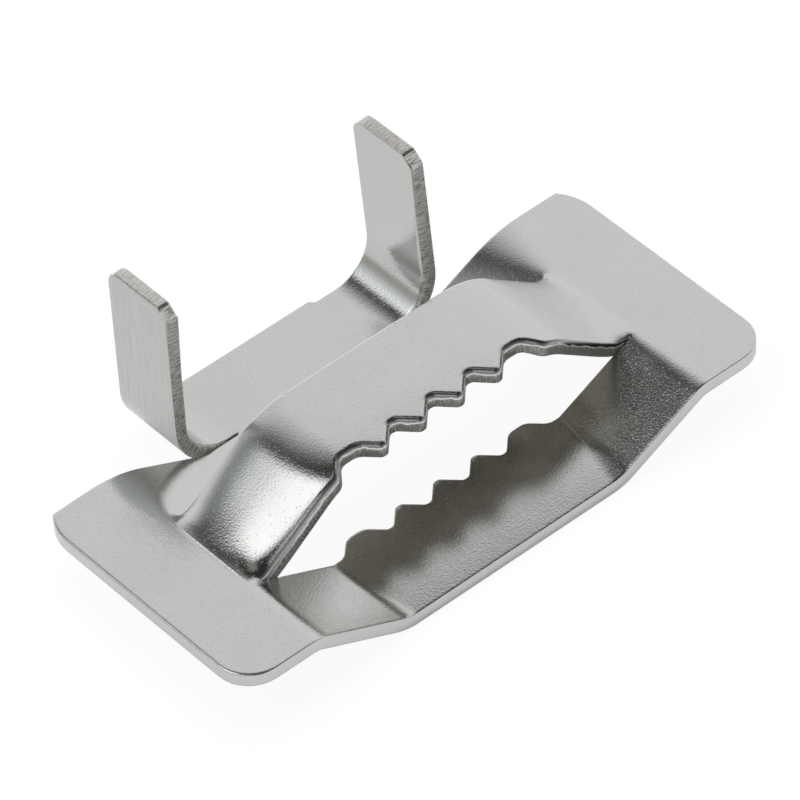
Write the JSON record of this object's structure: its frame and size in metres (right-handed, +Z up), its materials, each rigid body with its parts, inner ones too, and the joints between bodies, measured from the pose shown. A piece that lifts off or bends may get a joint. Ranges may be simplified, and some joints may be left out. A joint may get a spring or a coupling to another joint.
{
  "type": "strapping buckle",
  "caption": "Strapping buckle pressed from one stainless sheet: a raised toothed bridge between dropped strips, and a tongue whose two ears fold over the steel band to lock it.",
  "frame": {"origin": "on the plane that the two dropped strips and the tongue stand on, in the middle of the overall length and depth", "axes": "+X along the plate, across the band; +Y along the band, towards the folded ears; +Z up, out of the plate on the side of the bridge and the ears"},
  "size_m": [0.044, 0.026, 0.0147],
  "materials": {
    "stainless": "satin rolled stainless sheet with fine specks, tumbled after pressing, with bare sheared edges"
  },
  "bodies": {
    "root": {"buckle": "stainless"}
  },
  "joints": []
}
